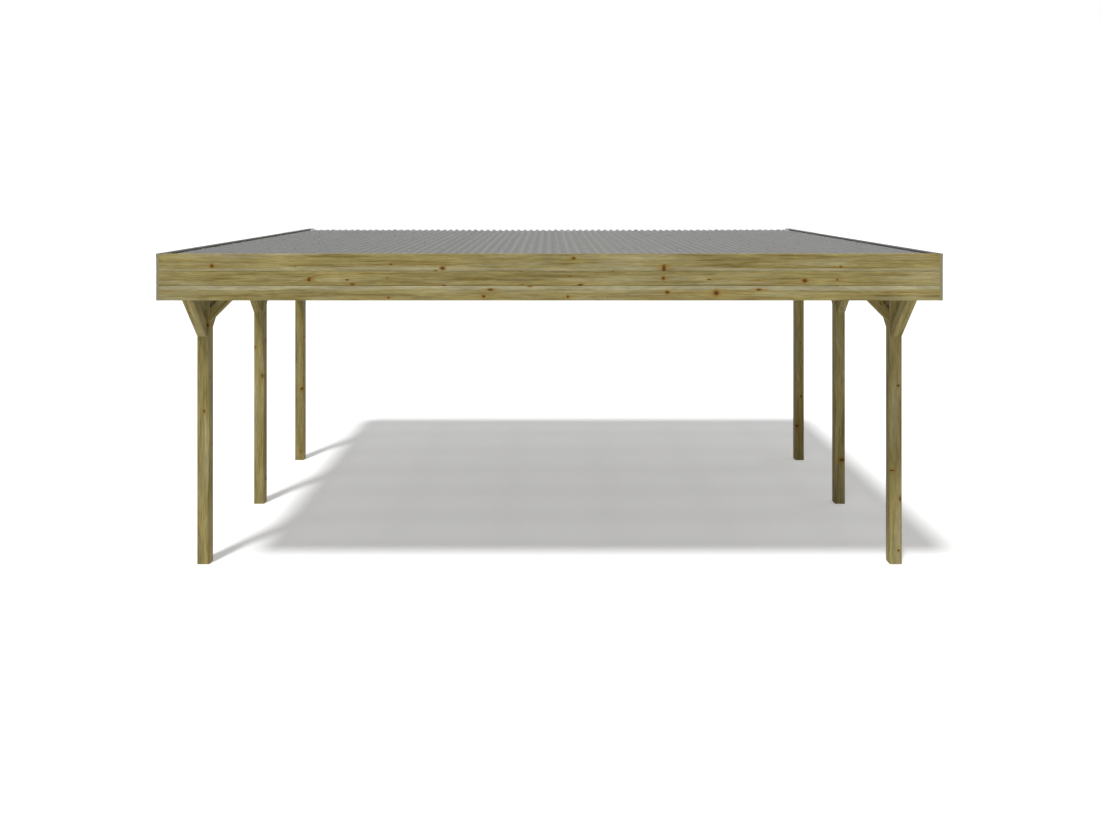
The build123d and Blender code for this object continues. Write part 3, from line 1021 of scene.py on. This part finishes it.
def studio_sky(strength):
    """Even white light, and plain white wherever the eye or a reflection sees past the floor."""
    world = bpy.data.worlds.new("studio_sky")
    bpy.context.scene.world = world
    world.use_nodes = True
    tree = world.node_tree
    tree.nodes.clear()
    brightness = add(tree, "ShaderNodeMapRange", {
        "Value": seen_share(tree), "To Min": strength, "To Max": 1.0,
    }).outputs[0]
    light = add(tree, "ShaderNodeBackground", {"Color": (1.0, 1.0, 1.0, 1.0), "Strength": brightness})
    add(tree, "ShaderNodeOutputWorld", {"Surface": light.outputs[0]})


class CARPORT_OT_studio(bpy.types.Operator):
    """Set the floor, the light and the camera"""

    bl_idname = "carport.studio"
    bl_label = "Studio"

    def execute(self, context):
        studio = context.scene.carport_studio
        mesh = bpy.data.meshes.new("studio_floor")
        corners = [(x * FLOOR_REACH, y * FLOOR_REACH, 0) for x, y in ((-1, -1), (1, -1), (1, 1), (-1, 1))]
        mesh.from_pydata(corners, [], [(0, 1, 2, 3)])
        mesh.materials.append(studio_floor())
        floor = bpy.data.objects.new("studio_floor", mesh)
        context.scene.collection.objects.link(floor)
        studio_sky(studio.sky)

        lamps = {
            "soft_sun": (studio.sun, studio.sun_angle, SUN_TRAVEL),
            "fill": (studio.fill, math.radians(FILL_WIDTH), FILL_TRAVEL),
        }
        for name, (energy, angle, travel) in lamps.items():
            lamp = bpy.data.lights.new(name, "SUN")
            lamp.energy = energy
            lamp.angle = angle
            lamp_object = bpy.data.objects.new(name, lamp)
            lamp_object.rotation_euler = Vector(travel).to_track_quat("-Z", "Y").to_euler()
            context.scene.collection.objects.link(lamp_object)

        lens = bpy.data.cameras.new("camera")
        lens.sensor_width = SENSOR_WIDTH
        lens.lens = FOCAL_PIXELS / PHOTO_WIDTH * SENSOR_WIDTH
        lens.shift_x = (PHOTO_WIDTH / 2 - CENTRE_COLUMN) / PHOTO_WIDTH
        lens.shift_y = (HORIZON_ROW - PHOTO_HEIGHT / 2) / PHOTO_WIDTH
        camera = bpy.data.objects.new("camera", lens)
        camera.location = (0, front_low.y - studio.stand_off, studio.eye_height)
        camera.rotation_euler = Euler((math.radians(90), 0, 0))
        context.scene.collection.objects.link(camera)
        context.scene.camera = camera
        context.scene.view_settings.view_transform = "Standard"
        return {"FINISHED"}


class CARPORT_PT_panel(bpy.types.Panel):
    """The carport's pieces"""

    bl_idname = "CARPORT_PT_panel"
    bl_label = "Carport"
    bl_space_type = "VIEW_3D"
    bl_region_type = "UI"
    bl_category = "Carport"

    def draw(self, context):
        for operator in operators:
            self.layout.operator(operator.bl_idname)


settings = {
    "carport_pine": CarportPine,
    "carport_sheets": CarportSheets,
    "carport_trims": CarportTrims,
    "carport_fixings": CarportFixings,
    "carport_studio": CarportStudio,
}
operators = [
    CARPORT_OT_timbers,
    CARPORT_OT_fascias,
    CARPORT_OT_roof_sheets,
    CARPORT_OT_verge_trims,
    CARPORT_OT_sheet_fixings,
    CARPORT_OT_fascia_screws,
    CARPORT_OT_studio,
]


def register():
    for group in settings.values():
        bpy.utils.register_class(group)
    for name, group in settings.items():
        setattr(bpy.types.Scene, name, bpy.props.PointerProperty(type=group))
    for operator in operators:
        bpy.utils.register_class(operator)
    bpy.utils.register_class(CARPORT_PT_panel)


def unregister():
    bpy.utils.unregister_class(CARPORT_PT_panel)
    for operator in reversed(operators):
        bpy.utils.unregister_class(operator)
    for name in settings:
        delattr(bpy.types.Scene, name)
    for group in settings.values():
        bpy.utils.unregister_class(group)


def main():
    register()
    bpy.ops.carport.timbers()
    bpy.ops.carport.fascias()
    bpy.ops.carport.roof_sheets()
    bpy.ops.carport.verge_trims()
    bpy.ops.carport.sheet_fixings()
    bpy.ops.carport.fascia_screws()
    bpy.ops.carport.studio()


if __name__ == "__main__":
    main()
